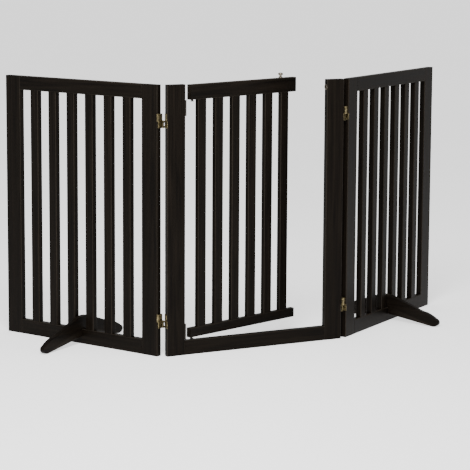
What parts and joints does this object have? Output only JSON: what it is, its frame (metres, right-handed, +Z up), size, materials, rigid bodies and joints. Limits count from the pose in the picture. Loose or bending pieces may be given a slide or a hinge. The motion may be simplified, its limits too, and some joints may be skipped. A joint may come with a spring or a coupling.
{
  "type": "folding pet gate",
  "caption": "Free-standing folding wooden pet gate: slatted side panels on double-action hinges, a centre frame with a latching slatted door, and lift-off support feet.",
  "frame": {"origin": "middle of the centre frame's sill, on the floor", "axes": "+X along the centre frame from the door's pivot side to its latch side, +Y to the side where both panels are folded and the door stands ajar, +Z up"},
  "size_m": [1.3536, 0.5102, 0.7759],
  "materials": {
    "espresso_wood": "dark espresso stain under a satin lacquer, eased edges",
    "brass": "brass-plated steel, lightly aged",
    "dark_metal": "dark bronze paint, satin",
    "antique_metal": "antique pewter, worn bright on its edges"
  },
  "bodies": {
    "middle_frame": {"frame_left_stile": "espresso_wood", "frame_right_stile": "espresso_wood", "frame_sill": "espresso_wood", "strike_ferrule": "antique_metal", "door_pivot_top_bracket": "dark_metal", "door_pivot_bottom_bracket": "dark_metal", "door_pivot_top_pin": "dark_metal", "door_pivot_bottom_pin": "dark_metal", "left_top_hinge_frame_leaf": "brass", "left_bottom_hinge_frame_leaf": "brass", "left_top_hinge_back_pin": "brass", "left_bottom_hinge_back_pin": "brass", "right_top_hinge_frame_leaf": "brass", "right_bottom_hinge_frame_leaf": "brass", "right_top_hinge_front_pin": "brass", "right_bottom_hinge_front_pin": "brass"},
    "left_link": {"left_top_hinge_link": "brass", "left_bottom_hinge_link": "brass"},
    "left_panel": {"left_panel_left_stile": "espresso_wood", "left_panel_right_stile": "espresso_wood", "left_panel_bottom_rail": "espresso_wood", "left_panel_top_rail": "espresso_wood", "left_panel_slat_1": "espresso_wood", "left_panel_slat_2": "espresso_wood", "left_panel_slat_3": "espresso_wood", "left_panel_slat_4": "espresso_wood", "left_panel_slat_5": "espresso_wood", "left_panel_slat_6": "espresso_wood", "left_top_hinge_panel_leaf": "brass", "left_bottom_hinge_panel_leaf": "brass", "left_top_hinge_front_pin": "brass", "left_bottom_hinge_front_pin": "brass"},
    "right_link": {"right_top_hinge_link": "brass", "right_bottom_hinge_link": "brass"},
    "right_panel": {"right_panel_left_stile": "espresso_wood", "right_panel_right_stile": "espresso_wood", "right_panel_bottom_rail": "espresso_wood", "right_panel_top_rail": "espresso_wood", "right_panel_slat_1": "espresso_wood", "right_panel_slat_2": "espresso_wood", "right_panel_slat_3": "espresso_wood", "right_panel_slat_4": "espresso_wood", "right_panel_slat_5": "espresso_wood", "right_panel_slat_6": "espresso_wood", "right_top_hinge_panel_leaf": "brass", "right_bottom_hinge_panel_leaf": "brass", "right_top_hinge_back_pin": "brass", "right_bottom_hinge_back_pin": "brass"},
    "door": {"door_top_rail": "espresso_wood", "door_bottom_rail": "espresso_wood", "door_slat_1": "espresso_wood", "door_slat_2": "espresso_wood", "door_slat_3": "espresso_wood", "door_slat_4": "espresso_wood", "door_slat_5": "espresso_wood", "door_slat_6": "espresso_wood"},
    "latch": {"latch_bolt": "antique_metal", "latch_knob": "antique_metal"},
    "left_foot": {"left_foot": "espresso_wood"},
    "right_foot": {"right_foot": "espresso_wood"}
  },
  "joints": [
    {"name": "left_back_pin", "type": "hinge", "parent": "middle_frame", "child": "left_link", "pos_m": [-0.2813, 0.012, 0.381], "axis": [0, 0, 1], "range_deg": [-70, 60.4]},
    {"name": "left_front_pin", "type": "hinge", "parent": "left_link", "child": "left_panel", "pos_m": [-0.30217, 0.00015, 0.381], "axis": [0, 0, 1], "range_deg": [0, 145]},
    {"name": "right_front_pin", "type": "hinge", "parent": "middle_frame", "child": "right_link", "pos_m": [0.2813, -0.012, 0.381], "axis": [0, 0, 1], "range_deg": [-145, 0]},
    {"name": "right_back_pin", "type": "hinge", "parent": "right_link", "child": "right_panel", "pos_m": [0.2813, 0.012, 0.381], "axis": [0, 0, 1], "range_deg": [-32.3, 83]},
    {"name": "door_swing", "type": "hinge", "parent": "middle_frame", "child": "door", "pos_m": [-0.1985, 0, 0.381], "axis": [0, 0, 1], "range_deg": [-108, 72]},
    {"name": "latch_slide", "type": "slide", "parent": "door", "child": "latch", "axis": [0.9511, 0.309, 0], "range_m": [0, 0.03]},
    {"name": "left_foot_lift", "type": "slide", "parent": "left_panel", "child": "left_foot", "axis": [0, 0, 1], "range_m": [0, 0.06]},
    {"name": "right_foot_lift", "type": "slide", "parent": "right_panel", "child": "right_foot", "axis": [0, 0, 1], "range_m": [0, 0.06]}
  ]
}
